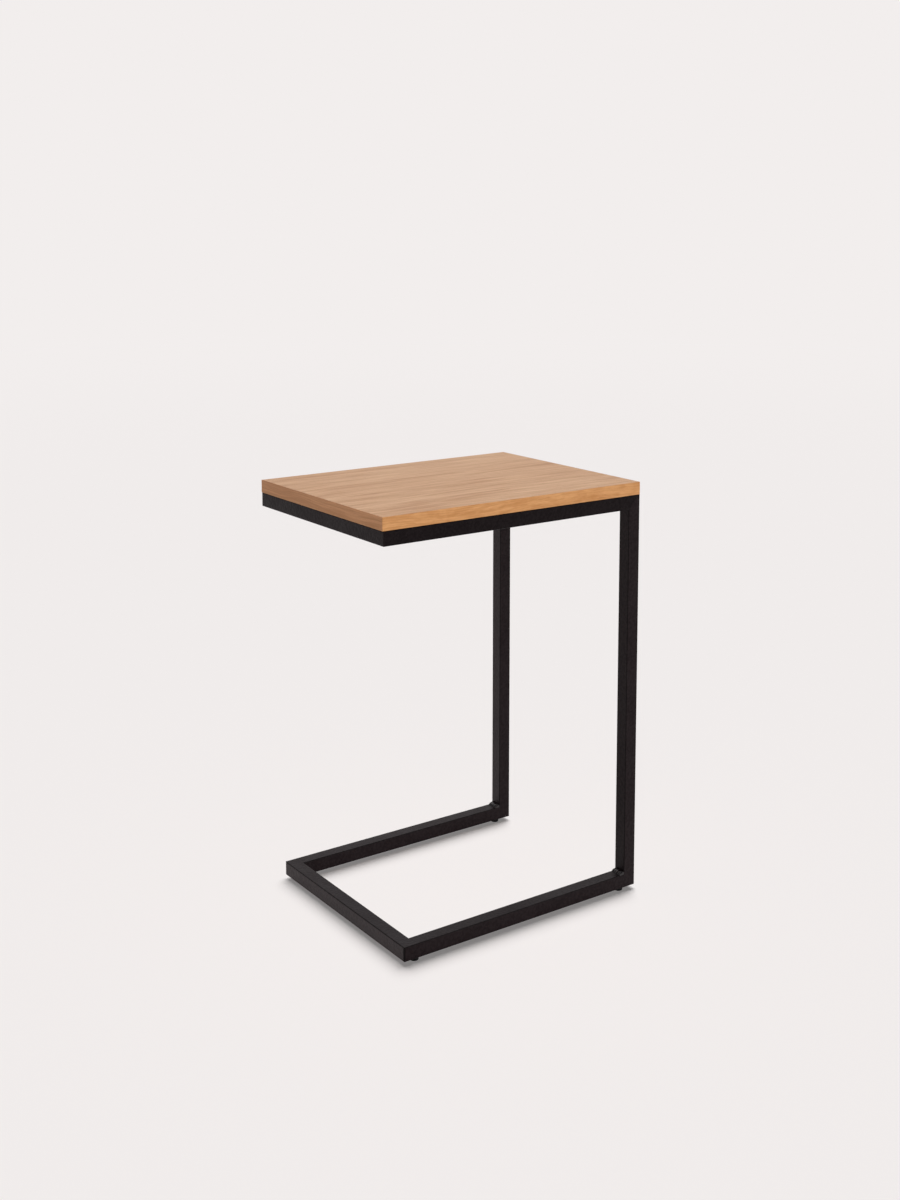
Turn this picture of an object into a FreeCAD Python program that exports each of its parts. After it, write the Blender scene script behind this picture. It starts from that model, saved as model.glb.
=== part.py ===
import FreeCAD, Part
import os
from FreeCAD import Placement, Rotation, Vector

os.makedirs("parts", exist_ok=True)

# C shaped side table, in millimetres.
# The origin is on the floor, under the middle of the top. +X points from the open end (front),
# which slides under a seat, to the uprights (rear). +Y is the left side and +Z is up.

# ---------------------------------------------------------------- overall sizes
TABLE_HEIGHT = 600.0
TOP_LENGTH = 430.0
TOP_WIDTH = 320.0
TOP_THICKNESS = 18.0
TOP_FRONT_OVERHANG = 1.0  # board past the upper frame at the open end
BASE_LENGTH = 400.0  # base frame, from the crossbar's front face to the uprights' rear face

# ---------------------------------------------------------------- square steel tube
TUBE_SIZE = 20.0
TUBE_WALL = 1.2
TUBE_CORNER_RADIUS = 1.2
LEAST_BORE_BEVEL = 0.2
COPE_REACH = 0.85  # how far a coped end reaches over its neighbour's rounded edge, as a share of it
DRESSED_CORNER_RADIUS = 3.0  # outer upright edge of the base's front mitres, ground round

# ---------------------------------------------------------------- veneered board
VENEER_THICKNESS = 0.6
EDGE_BAND_THICKNESS = 1.0
EDGE_EASING = 0.4  # width of the small bevel along the board's outer edges

# ---------------------------------------------------------------- corner plates and their screws
PLATE_LEG = 35.0
PLATE_THICKNESS = 2.0
PLATE_RECESS = 1.5  # below the frame's top face, so that the screws draw the board down tight
PLATE_TIP_CUT = 4.0  # width left at each clipped tip
PLATE_HOLE_INSET = 12.0  # from the frame's inner faces to the hole's centre
SCREW_SHANK_DIAMETER = 3.8
SCREW_HEAD_DIAMETER = 7.6
SCREW_HEAD_HEIGHT = 2.6
SCREW_HEAD_BEVEL = 0.9
SCREW_POINT_LENGTH = 2.6
SCREW_TIP_COVER = 5.5  # wood left above the screw's point
SCREW_HOLE_CLEARANCE = 0.35  # between the shank and the plate's hole
PILOT_CLEARANCE = 0.05  # between the shank and its hole in the board
PILOT_SPARE_DEPTH = 0.5
RECESS_SPAN = 4.2
RECESS_SLOT = 0.9
RECESS_DEPTH = 1.4

# ---------------------------------------------------------------- weld beads at the base of the uprights
WELD_RADIUS = 7.5  # at the crest of a ripple
WELD_SINK = 3.5  # axis of the bead below the rail's top face
WELD_LEAN = 1.5  # axis of the bead in front of the upright, so that it spreads over the rail
WELD_PITCH = 4.0
WELD_RIPPLE_DEPTH = 0.45
WELD_CREST_PLACE = 0.3  # crest within one ripple, as a share of the pitch

# ---------------------------------------------------------------- snap-in feet
FOOT_DIAMETER = 12.0
FOOT_HEIGHT = 6.0
FOOT_EDGE_BEVEL = 1.0
FOOT_INSET = 22.0  # from each end of a base rail to the foot's axis
STEM_DIAMETER = 7.8
STEM_CLEARANCE = 0.1  # between the stem and the rail's hole
BARB_OVERLAP = 0.7  # how far the barb reaches over the hole's rim
BARB_PLAY = 0.1  # between the barb and the tube's wall
BARB_THICKNESS = 1.6

# ---------------------------------------------------------------- places worked out from the sizes
UP = Vector(0, 0, 1)
DOWN = Vector(0, 0, -1)
FORWARD = Vector(-1, 0, 0)  # towards the open end
BACKWARD = Vector(1, 0, 0)  # towards the uprights

SIDES = {"left": 1, "right": -1}

HALF_TUBE = TUBE_SIZE / 2
REAR_X = TOP_LENGTH / 2
INNER_FACE_X = REAR_X - TUBE_SIZE
TOP_FRAME_FRONT_X = -TOP_LENGTH / 2 + TOP_FRONT_OVERHANG
BASE_FRONT_X = REAR_X - BASE_LENGTH
SIDE_Y = TOP_WIDTH / 2
INNER_Y = SIDE_Y - TUBE_SIZE
BOARD_BOTTOM_Z = TABLE_HEIGHT - TOP_THICKNESS
BASE_BOTTOM_Z = FOOT_HEIGHT
BASE_TOP_Z = BASE_BOTTOM_Z + TUBE_SIZE
BASE_CENTRE_Z = BASE_BOTTOM_Z + HALF_TUBE
TOP_FRAME_CENTRE_Z = BOARD_BOTTOM_Z - HALF_TUBE
CENTRE_Y = SIDE_Y - HALF_TUBE
PLATE_TOP_Z = BOARD_BOTTOM_Z - PLATE_RECESS
PLATE_BOTTOM_Z = PLATE_TOP_Z - PLATE_THICKNESS
SCREW_TIP_Z = TABLE_HEIGHT - SCREW_TIP_COVER
FOOT_XS = {"front": BASE_FRONT_X + FOOT_INSET, "rear": REAR_X - FOOT_INSET}
SPAN = 4 * (TABLE_HEIGHT + TOP_LENGTH)  # larger than anything that is cut


# ---------------------------------------------------------------- square tube and its joints
def half_space(point, normal):
    """Block that starts at the plane through point and fills the side that normal points to."""
    block = Part.makeBox(SPAN, SPAN, SPAN, Vector(-SPAN / 2, -SPAN / 2, 0))
    block.Placement = Placement(point, Rotation(UP, normal))
    return block


def square_blank(start, end, size):
    """Square bar on the centre line from start to end, stood on the origin, and its long edges."""
    length = (end - start).Length
    bar = Part.makeBox(size, size, length, Vector(-size / 2, -size / 2, 0))
    return bar, [edge for edge in bar.Edges if edge.BoundBox.ZLength > length / 2]


def outer_form(start, end):
    """Solid form of a tube's outside, with four rounded edges."""
    bar, long_edges = square_blank(start, end, TUBE_SIZE)
    bar = bar.makeFillet(TUBE_CORNER_RADIUS, long_edges)
    bar.Placement = Placement(start, Rotation(UP, end - start))
    return bar


def bore_form(start, end):
    """Solid form of a tube's bore, whose corners are bevelled to keep the wall even."""
    bar, long_edges = square_blank(start, end, TUBE_SIZE - 2 * TUBE_WALL)
    bevel = max(TUBE_CORNER_RADIUS - TUBE_WALL, LEAST_BORE_BEVEL)
    bar = bar.makeChamfer(bevel, long_edges)
    bar.Placement = Placement(start, Rotation(UP, end - start))
    return bar


def mitred(bar, joint, away, partner):
    """Cut a bar that leaves a joint along away so that it meets the one that leaves along partner."""
    return bar.cut(half_space(joint, partner - away))


def member(start, end, start_partner=None, end_partner=None, hollow=True):
    """Frame member between two joints, mitred to the partner that leaves each joint."""
    along = Vector(end - start).normalize()
    run_on = along * TUBE_SIZE
    first = start - run_on if start_partner else start
    last = end + run_on if end_partner else end
    bar = outer_form(first, last)
    if hollow:
        bar = bar.cut(bore_form(first, last))
    if start_partner:
        bar = mitred(bar, start, along, start_partner)
    if end_partner:
        bar = mitred(bar, end, along * -1, end_partner)
    return bar


def joint_point(x, side, z):
    """Crossing point of two centre lines on one side of the table."""
    return Vector(x, side * CENTRE_Y, z)


def base_front_joint(side):
    return joint_point(BASE_FRONT_X + HALF_TUBE, side, BASE_CENTRE_Z)


def base_rear_joint(side):
    return joint_point(REAR_X - HALF_TUBE, side, BASE_CENTRE_Z)


def top_front_joint(side):
    return joint_point(TOP_FRAME_FRONT_X + HALF_TUBE, side, TOP_FRAME_CENTRE_Z)


def top_rear_joint(side):
    return joint_point(REAR_X - HALF_TUBE, side, TOP_FRAME_CENTRE_Z)


def turned(outline):
    """Solid turned about the Z axis from a closed outline in the XZ plane."""
    return Part.Face(Part.makePolygon(outline)).revolve(Vector(0, 0, 0), UP, 360)


# ---------------------------------------------------------------- C shaped side frames and crossbars
def base_rail(side, hollow=True):
    """Floor rail: mitred to the crossbar in plan at the front, and to the upright at the rear."""
    inward = Vector(0, -side, 0)
    return member(base_front_joint(side), base_rear_joint(side), inward, UP, hollow)


def upright(side, hollow=True):
    """Rear post of one C, mitred to the rail above and to the rail below."""
    return member(base_rear_joint(side), top_rear_joint(side), FORWARD, FORWARD, hollow)


def top_rail(side, hollow=True):
    """Rail under the board's long edge."""
    inward = Vector(0, -side, 0)
    return member(top_front_joint(side), top_rear_joint(side), inward, DOWN, hollow)


def dressed(bar, side):
    """Round the part of a bar that lies at the outer upright edge of the base's front mitre."""
    radius = DRESSED_CORNER_RADIUS
    inmost_y = SIDE_Y - radius if side > 0 else -SIDE_Y - radius
    corner = Vector(BASE_FRONT_X - radius, inmost_y, BASE_BOTTOM_Z - radius)
    height = TUBE_SIZE + 2 * radius
    waste = Part.makeBox(2 * radius, 2 * radius, height, corner)
    axis_foot = Vector(BASE_FRONT_X + radius, side * (SIDE_Y - radius), corner.z)
    return bar.cut(waste.cut(Part.makeCylinder(radius, height, axis_foot)))


def base_front_crossbar():
    """Crossbar on the floor at the open end, with both mitred corners dressed round."""
    bar = member(base_front_joint(1), base_front_joint(-1), BACKWARD, BACKWARD)
    return dressed(dressed(bar, 1), -1)


def base_rail_with_foot_holes(side):
    """Floor rail with a dressed front corner and a hole in its bottom wall for each foot's stem."""
    rail = dressed(base_rail(side), side)
    radius = STEM_DIAMETER / 2 + STEM_CLEARANCE
    for x in FOOT_XS.values():
        below = Vector(x, side * CENTRE_Y, BASE_BOTTOM_Z - TUBE_WALL)
        rail = rail.cut(Part.makeCylinder(radius, 3 * TUBE_WALL, below))
    return rail


def rear_top_crossbar():
    """Crossbar between the two C frames, with its ends coped over their rounded edges."""
    reach = COPE_REACH * TUBE_CORNER_RADIUS
    x = REAR_X - HALF_TUBE
    left_end = Vector(x, INNER_Y + reach, TOP_FRAME_CENTRE_Z)
    right_end = Vector(x, -INNER_Y - reach, TOP_FRAME_CENTRE_Z)
    bar = member(left_end, right_end)
    for side in SIDES.values():
        bar = bar.cut(top_rail(side, hollow=False))
        bar = bar.cut(upright(side, hollow=False))
    return bar


def corner_weld(side):
    """Rippled bead in the inside corner between a base rail and its upright.

    The bead is turned about an axis along Y, and the tubes are cut out of it, so that it also fills
    the corners beside their rounded edges.
    """
    ripple_count = max(int(round(TUBE_SIZE / WELD_PITCH)), 2)
    pitch = TUBE_SIZE / ripple_count
    valley = WELD_RADIUS - WELD_RIPPLE_DEPTH
    outline = [Vector(0, 0, 0), Vector(0, 0, valley)]
    for index in range(ripple_count):
        outline.append(Vector(0, pitch * (index + WELD_CREST_PLACE), WELD_RADIUS))
        outline.append(Vector(0, pitch * (index + 1), valley))
    outline.append(Vector(0, TUBE_SIZE, 0))
    outline.append(outline[0])
    bead = Part.Face(Part.makePolygon(outline)).revolve(Vector(0, 0, 0), Vector(0, 1, 0), 360)
    bead.translate(Vector(INNER_FACE_X - WELD_LEAN, INNER_Y, BASE_TOP_Z - WELD_SINK))
    if side < 0:
        bead = bead.mirror(Vector(0, 0, 0), Vector(0, 1, 0))
    bead = bead.cut(base_rail(side, hollow=False))
    bead = bead.cut(upright(side, hollow=False))
    fill = COPE_REACH * TUBE_CORNER_RADIUS
    reach = WELD_LEAN + WELD_RADIUS
    corner = Vector(INNER_FACE_X - reach, -SIDE_Y, BASE_TOP_Z - fill)
    return bead.common(Part.makeBox(reach + fill, TOP_WIDTH, reach + fill, corner))


# ---------------------------------------------------------------- corner plates and screws
def plate_corners():
    """Each inner corner of the upper frame, with the directions that lead into the frame."""
    corners = {}
    for side_name, side in SIDES.items():
        corners["front_" + side_name] = (TOP_FRAME_FRONT_X + TUBE_SIZE, side * INNER_Y, 1, -side)
        corners["rear_" + side_name] = (INNER_FACE_X, side * INNER_Y, -1, -side)
    return corners


def screw_place(corner):
    """Axis of the screw in one corner plate, at floor level."""
    x, y, into_x, into_y = corner
    return Vector(x + into_x * PLATE_HOLE_INSET, y + into_y * PLATE_HOLE_INSET, 0)


def corner_plate(corner):
    """Triangular steel plate with clipped tips and one screw hole."""
    x, y, into_x, into_y = corner
    outline = [
        (0, 0),
        (PLATE_LEG, 0),
        (PLATE_LEG, PLATE_TIP_CUT),
        (PLATE_TIP_CUT, PLATE_LEG),
        (0, PLATE_LEG),
        (0, 0),
    ]
    points = [Vector(x + into_x * a, y + into_y * b, PLATE_BOTTOM_Z) for a, b in outline]
    plate = Part.Face(Part.makePolygon(points)).extrude(UP * PLATE_THICKNESS)
    radius = SCREW_SHANK_DIAMETER / 2 + SCREW_HOLE_CLEARANCE
    foot_of_hole = screw_place(corner) + UP * (PLATE_BOTTOM_Z - PLATE_THICKNESS)
    return plate.cut(Part.makeCylinder(radius, 3 * PLATE_THICKNESS, foot_of_hole))


def board_screw(place):
    """Pan head wood screw with a cross recess, driven up through a corner plate."""
    shank = SCREW_SHANK_DIAMETER / 2
    head = SCREW_HEAD_DIAMETER / 2
    head_bottom_z = PLATE_BOTTOM_Z - SCREW_HEAD_HEIGHT
    outline = [
        Vector(0, 0, head_bottom_z),
        Vector(head - SCREW_HEAD_BEVEL, 0, head_bottom_z),
        Vector(head, 0, head_bottom_z + SCREW_HEAD_BEVEL),
        Vector(head, 0, PLATE_BOTTOM_Z),
        Vector(shank, 0, PLATE_BOTTOM_Z),
        Vector(shank, 0, SCREW_TIP_Z - SCREW_POINT_LENGTH),
        Vector(0, 0, SCREW_TIP_Z),
        Vector(0, 0, head_bottom_z),
    ]
    screw = turned(outline)
    for length, width in ((RECESS_SPAN, RECESS_SLOT), (RECESS_SLOT, RECESS_SPAN)):
        corner = Vector(-length / 2, -width / 2, head_bottom_z)
        screw = screw.cut(Part.makeBox(length, width, RECESS_DEPTH, corner))
    screw.translate(place)
    return screw


def pilot_hole(place):
    """Space for a screw's shank and point in the board and its backing."""
    radius = SCREW_SHANK_DIAMETER / 2 + PILOT_CLEARANCE
    mouth_z = BOARD_BOTTOM_Z - VENEER_THICKNESS
    depth = SCREW_TIP_Z + PILOT_SPARE_DEPTH - mouth_z
    return Part.makeCylinder(radius, depth, place + UP * mouth_z)


# ---------------------------------------------------------------- board
def board_layer(bottom_z, thickness):
    """Layer of the board inside the four edge bands."""
    length = TOP_LENGTH - 2 * EDGE_BAND_THICKNESS
    width = TOP_WIDTH - 2 * EDGE_BAND_THICKNESS
    return Part.makeBox(length, width, thickness, Vector(-length / 2, -width / 2, bottom_z))


def with_pilot_holes(layer):
    """Layer with the holes that the four screws need."""
    for corner in plate_corners().values():
        layer = layer.cut(pilot_hole(screw_place(corner)))
    return layer


def side_edge_band(side):
    """Band along a long edge, which also covers the ends of the two short bands."""
    lowest_y = SIDE_Y - EDGE_BAND_THICKNESS if side > 0 else -SIDE_Y
    corner = Vector(-TOP_LENGTH / 2, lowest_y, BOARD_BOTTOM_Z)
    band = Part.makeBox(TOP_LENGTH, EDGE_BAND_THICKNESS, TOP_THICKNESS, corner)
    eased_from_y = SIDE_Y - 0.75 * EDGE_BAND_THICKNESS
    eased = [edge for edge in band.Edges if abs(edge.CenterOfMass.y) > eased_from_y]
    return band.makeChamfer(EDGE_EASING, eased)


def end_edge_band(end):
    """Band along a short edge, between the two long bands; end is 1 at the rear and -1 in front."""
    width = TOP_WIDTH - 2 * EDGE_BAND_THICKNESS
    lowest_x = TOP_LENGTH / 2 - EDGE_BAND_THICKNESS if end > 0 else -TOP_LENGTH / 2
    corner = Vector(lowest_x, -width / 2, BOARD_BOTTOM_Z)
    band = Part.makeBox(EDGE_BAND_THICKNESS, width, TOP_THICKNESS, corner)
    outer_x = end * TOP_LENGTH / 2
    eased = []
    for edge in band.Edges:
        on_outer_face = abs(edge.CenterOfMass.x - outer_x) < EDGE_BAND_THICKNESS / 4
        if on_outer_face and edge.BoundBox.YLength > width / 2:
            eased.append(edge)
    return band.makeChamfer(EDGE_EASING, eased)


# ---------------------------------------------------------------- feet
def foot(x, y):
    """Round plastic foot, with a barbed stem that snaps into the rail's bottom wall."""
    pad = FOOT_DIAMETER / 2
    neck = STEM_DIAMETER / 2
    barb = neck + STEM_CLEARANCE + BARB_OVERLAP
    barb_z = FOOT_HEIGHT + TUBE_WALL + BARB_PLAY
    outline = [
        Vector(0, 0, 0),
        Vector(pad - FOOT_EDGE_BEVEL, 0, 0),
        Vector(pad, 0, FOOT_EDGE_BEVEL),
        Vector(pad, 0, FOOT_HEIGHT),
        Vector(neck, 0, FOOT_HEIGHT),
        Vector(neck, 0, barb_z),
        Vector(barb, 0, barb_z),
        Vector(barb, 0, barb_z + BARB_THICKNESS),
        Vector(0, 0, barb_z + BARB_THICKNESS),
        Vector(0, 0, 0),
    ]
    shape = turned(outline)
    shape.translate(Vector(x, y, 0))
    return shape


# ---------------------------------------------------------------- assembly
def frame_pieces():
    """The welded steel frame."""
    pieces = {}
    for name, side in SIDES.items():
        pieces["base_rail_" + name] = base_rail_with_foot_holes(side)
        pieces["upright_" + name] = upright(side)
        pieces["top_rail_" + name] = top_rail(side)
        pieces["corner_weld_" + name] = corner_weld(side)
    pieces["base_crossbar"] = base_front_crossbar()
    pieces["top_crossbar_front"] = member(
        top_front_joint(1), top_front_joint(-1), BACKWARD, BACKWARD
    )
    pieces["top_crossbar_rear"] = rear_top_crossbar()
    for name, corner in plate_corners().items():
        pieces["corner_plate_" + name] = corner_plate(corner)
    return pieces


def board_pieces():
    """The veneered top and the screws that hold it."""
    core_bottom_z = BOARD_BOTTOM_Z + VENEER_THICKNESS
    core_thickness = TOP_THICKNESS - 2 * VENEER_THICKNESS
    face_bottom_z = TABLE_HEIGHT - VENEER_THICKNESS
    screws = [board_screw(screw_place(corner)) for corner in plate_corners().values()]
    return {
        "tabletop_core": with_pilot_holes(board_layer(core_bottom_z, core_thickness)),
        "tabletop_face_veneer": board_layer(face_bottom_z, VENEER_THICKNESS),
        "tabletop_backing_veneer": with_pilot_holes(board_layer(BOARD_BOTTOM_Z, VENEER_THICKNESS)),
        "edge_band_left": side_edge_band(1),
        "edge_band_right": side_edge_band(-1),
        "edge_band_front": end_edge_band(-1),
        "edge_band_rear": end_edge_band(1),
        "tabletop_screws": Part.makeCompound(screws),
    }


def foot_pieces():
    """The four feet, on the centre lines of the base rails."""
    pieces = {}
    for side_name, side in SIDES.items():
        for end_name, x in FOOT_XS.items():
            pieces["foot_" + end_name + "_" + side_name] = foot(x, side * CENTRE_Y)
    return pieces


def main():
    """Write one STEP file for each piece."""
    pieces = {}
    pieces.update(frame_pieces())
    pieces.update(board_pieces())
    pieces.update(foot_pieces())
    for name, shape in pieces.items():
        shape.exportStep("parts/" + name + ".step")
        print(name, len(shape.Solids), round(shape.Volume, 1), shape.isValid())


main()
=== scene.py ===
"""Looks of the C shaped side table: an oak-veneered board on a welded frame of square steel tube.

All sizes are in metres and all places are in the frame's own axes: the origin lies on the floor under
the middle of the top, +X points from the open end to the uprights, +Y to the left and +Z up.
"""
import logging
import math
import random
from abc import ABC, abstractmethod
from dataclasses import dataclass, field, replace
from enum import Enum
from typing import ClassVar, Optional, Sequence, Union

import bmesh
import bpy
from mathutils import Matrix, Vector


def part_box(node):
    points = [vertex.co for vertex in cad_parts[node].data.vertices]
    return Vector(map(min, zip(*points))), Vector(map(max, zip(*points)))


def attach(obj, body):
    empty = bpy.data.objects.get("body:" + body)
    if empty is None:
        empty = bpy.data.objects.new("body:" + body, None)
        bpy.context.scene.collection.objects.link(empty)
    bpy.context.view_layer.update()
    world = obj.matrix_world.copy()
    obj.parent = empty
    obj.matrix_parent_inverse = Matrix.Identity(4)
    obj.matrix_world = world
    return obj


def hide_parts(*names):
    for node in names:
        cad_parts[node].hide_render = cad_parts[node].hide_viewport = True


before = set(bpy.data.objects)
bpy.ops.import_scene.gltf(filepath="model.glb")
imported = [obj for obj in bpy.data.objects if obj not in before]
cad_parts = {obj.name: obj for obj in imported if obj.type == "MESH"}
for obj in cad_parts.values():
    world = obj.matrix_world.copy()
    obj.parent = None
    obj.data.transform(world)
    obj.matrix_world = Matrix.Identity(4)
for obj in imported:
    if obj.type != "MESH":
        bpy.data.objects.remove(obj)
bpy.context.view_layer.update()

LOG = logging.getLogger("side_table")

Span = tuple[float, float]
Triple = tuple[float, float, float]
Colour = Triple
Socket = bpy.types.NodeSocket
Feed = Union[Socket, float, int, tuple]
Form = bmesh.types.BMesh
Piece = bpy.types.Object

BODY = "root"
MM = 0.001
MERGE_WITHIN = 0.002 * MM
SIDES = ("left", "right")
ENDS = ("front", "rear")
CORNERS = tuple(f"{end}_{side}" for end in ENDS for side in SIDES)
UP = Vector((0.0, 0.0, 1.0))
RISING: Span = (0.0, 1.0)
FALLING: Span = (1.0, 0.0)


# ---------------------------------------------------------------------------- shader building


@dataclass(frozen=True)
class Lumps:
    """Even noise between 0 and 1, described by its lumps.

    The scale counts lumps to each unit of the place, on all axes or on X, Y and Z. Detail is the number
    of finer layers, and roughness how strong they are. With a cut, the noise rises from 0 to 1 between
    those two of its values, and soft eases it in and out there.
    """

    scale: Union[float, Triple]
    detail: float = 2.0
    roughness: float = 0.5
    cut: Optional[Span] = None
    soft: bool = True


class Graph:
    """Short calls that add nodes to one tree and join them.

    What comes into the tree stands in given by its name: Place is the point on the piece in metres, and
    Facing the way that the surface faces there.
    """

    def __init__(self, tree: bpy.types.NodeTree) -> None:
        """Empty a node tree and start on it."""
        self.tree = tree
        self.tree.nodes.clear()
        self.given: dict[str, Socket] = {}

    def add(self, kind: str, *feeds: Feed, **named: object) -> bpy.types.Node:
        """Add a node, set its properties and fill its inputs.

        Args:
            kind: the node type without its ShaderNode prefix, or a full type name.
            *feeds: what goes into its first inputs, in their order.
            **named: properties of the node, and other inputs by their names, which start with a
                capital and have _ for a space.

        Returns:
            The new node.
        """
        node = self.tree.nodes.new(kind if kind.startswith("NodeGroup") else "ShaderNode" + kind)
        for name in (name for name in named if name.islower()):
            setattr(node, name, named[name])
        for socket, value in zip(node.inputs, feeds):
            self.feed(socket, value)
        for name in (name for name in named if not name.islower()):
            self.feed(node.inputs[name.replace("_", " ")], named[name])
        return node

    def feed(self, socket: Socket, value: Feed) -> None:
        """Join a socket to another one, or set its own value.

        Args:
            socket: the input to fill.
            value: an output socket, a number or a tuple of numbers.
        """
        if isinstance(value, Socket):
            self.tree.links.new(value, socket)
        elif socket.type == "RGBA" and len(value) == 3:
            socket.default_value = (*value, 1.0)
        else:
            socket.default_value = value

    def math(self, operation: str, a: Feed, b: Feed = 0.0) -> Socket:
        """Join two values by one operation, some of which leave out the second."""
        return self.add("Math", a, b, operation=operation).outputs[0]

    def times(self, a: Feed, b: Feed) -> Socket:
        """Return one value times another."""
        return self.math("MULTIPLY", a, b)

    def weigh(self, *parts: tuple[Feed, Feed]) -> Socket:
        """Add values up, each times its own weight.

        Args:
            *parts: each value with its weight.

        Returns:
            The sum.
        """
        total = self.times(*parts[0])
        for part in parts[1:]:
            total = self.math("ADD", total, self.times(*part))
        return total

    def stretch(self, place: Feed, factors: Union[float, Triple]) -> Socket:
        """Multiply a place by one factor for all axes, or by one for each."""
        each = factors if isinstance(factors, tuple) else (factors,) * 3
        return self.add("VectorMath", place, each, operation="MULTIPLY").outputs[0]

    def split(self, place: Feed) -> tuple[Socket, ...]:
        """Return the X, Y and Z of a place."""
        return tuple(self.add("SeparateXYZ", place).outputs)

    def join(self, x: Feed, y: Feed, z: Feed) -> Socket:
        """Return a place made of three values."""
        return self.add("CombineXYZ", x, y, z).outputs[0]

    def remap(self, value: Feed, old: Span, new: Span = RISING, soft: bool = False) -> Socket:
        """Turn one range of values into another and hold its ends, or ease in and out there."""
        kind = "SMOOTHSTEP" if soft else "LINEAR"
        return self.add("MapRange", value, *old, *new, interpolation_type=kind).outputs[0]

    def ease(self, value: Feed, old: Span, new: Span = RISING) -> Socket:
        """Turn one range of values into another, easing in and out at its ends."""
        return self.remap(value, old, new, soft=True)

    def noise(self, place: Feed, lumps: Lumps) -> Socket:
        """Read even noise.

        Args:
            place: the point to read.
            lumps: what the noise is like.

        Returns:
            The noise, between 0 and 1.
        """
        even = self.add("TexNoise", self.stretch(place, lumps.scale), Scale=1.0, Detail=lumps.detail,
                        Roughness=lumps.roughness).outputs[0]
        return self.remap(even, lumps.cut, soft=lumps.soft) if lumps.cut else even

    def tint(self, mask: Feed, under: Feed, over: Feed) -> Socket:
        """Lay one colour over another.

        Args:
            mask: how much of the upper colour shows, from 0 to 1.
            under: the lower colour.
            over: the upper colour.

        Returns:
            The mixed colour.
        """
        node = self.add("Mix", mask, data_type="RGBA")
        self.feed(node.inputs[6], under)
        self.feed(node.inputs[7], over)
        return node.outputs[2]

    def coats(self, colour: Feed, *coats: tuple[Feed, float, Feed]) -> Socket:
        """Lay thin coats over a colour, one after another.

        Args:
            colour: what lies under them.
            *coats: each coat's mask, its share of that mask and its colour.

        Returns:
            The colour on top.
        """
        for mask, share, over in coats:
            colour = self.tint(self.times(mask, share), colour, over)
        return colour

    def bump(self, height: Feed, depth: float) -> Socket:
        """Work out the normal of a relief.

        Args:
            height: the relief's height between 0 and 1.
            depth: the depth that a height of 1 stands for, in metres.

        Returns:
            The normal.
        """
        return self.add("Bump", Strength=1.0, Distance=depth, Height=height).outputs[0]


class SharedEffect(ABC):
    """A node group that several finishes place with their own values."""

    name: ClassVar[str]
    inputs: ClassVar[dict[str, str]]
    outputs: ClassVar[tuple[str, ...]]

    @abstractmethod
    def wire(self, graph: Graph) -> dict[str, Feed]:
        """Build the inside of the group.

        Args:
            graph: the group's own tree.

        Returns:
            The group's outputs by name.
        """

    def tree(self) -> bpy.types.NodeTree:
        """Return the group's tree, built the first time it is asked for."""
        if self.name in bpy.data.node_groups:
            return bpy.data.node_groups[self.name]
        tree = bpy.data.node_groups.new(self.name, "ShaderNodeTree")
        for label, kind in self.inputs.items():
            tree.interface.new_socket(name=label, in_out="INPUT", socket_type="NodeSocket" + kind)
        for label in self.outputs:
            tree.interface.new_socket(name=label, in_out="OUTPUT", socket_type="NodeSocketFloat")
        graph = Graph(tree)
        graph.given = {inlet.name: inlet for inlet in graph.add("NodeGroupInput").outputs if inlet.name}
        graph.add("NodeGroupOutput", **self.wire(graph))
        return tree

    def put(self, graph: Graph, **values: Feed) -> dict[str, Socket]:
        """Place the group in a material.

        Args:
            graph: the material's tree.
            **values: the group's inputs that the tree isn't given, with _ for a space in a name.

        Returns:
            The placed group's outputs by name.
        """
        shared = {label: graph.given[label] for label in self.inputs if label in graph.given}
        node = graph.add("Group", node_tree=self.tree(), **{**shared, **values})
        return {socket.name: socket for socket in node.outputs}


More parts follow.
